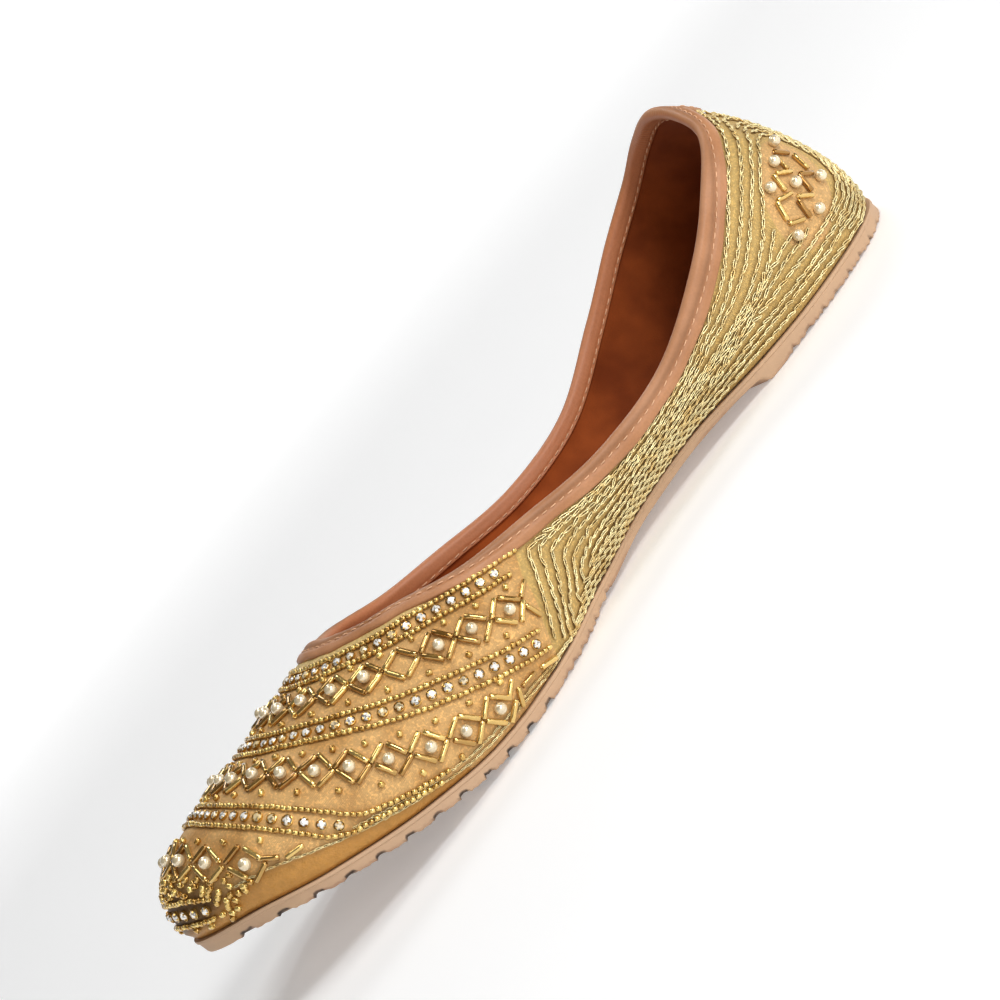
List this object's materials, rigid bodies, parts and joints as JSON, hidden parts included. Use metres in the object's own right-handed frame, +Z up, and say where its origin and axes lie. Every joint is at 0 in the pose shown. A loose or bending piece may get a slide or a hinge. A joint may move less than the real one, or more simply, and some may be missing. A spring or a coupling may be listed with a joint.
{
  "type": "mojari shoe",
  "caption": "Flat slip-on mojari with a beaded vamp, deep oval throat, low waist, pointed heel collar and a lugged rubber sole with toe spring.",
  "frame": {"origin": "on the floor under the middle of the shoe's length and width", "axes": "+Z up, -Y towards the toe, +Y towards the heel, +X and -X the two sides"},
  "size_m": [0.086, 0.2467, 0.0594],
  "materials": {
    "sole_rubber": "matt moulded rubber, pale pinkish tan",
    "insole_suede": "soft brown suede with a stitched line",
    "gold_cloth": "gold cloth, chain-stitched and beaded outside, brown suede inside",
    "binding_leather": "smooth thin leather with a slight gloss",
    "tab_leather": "smooth thin leather"
  },
  "bodies": {
    "root": {"outsole": "sole_rubber", "insole": "insole_suede", "upper": "gold_cloth", "collar_binding": "binding_leather", "back_tab": "tab_leather"}
  },
  "joints": []
}
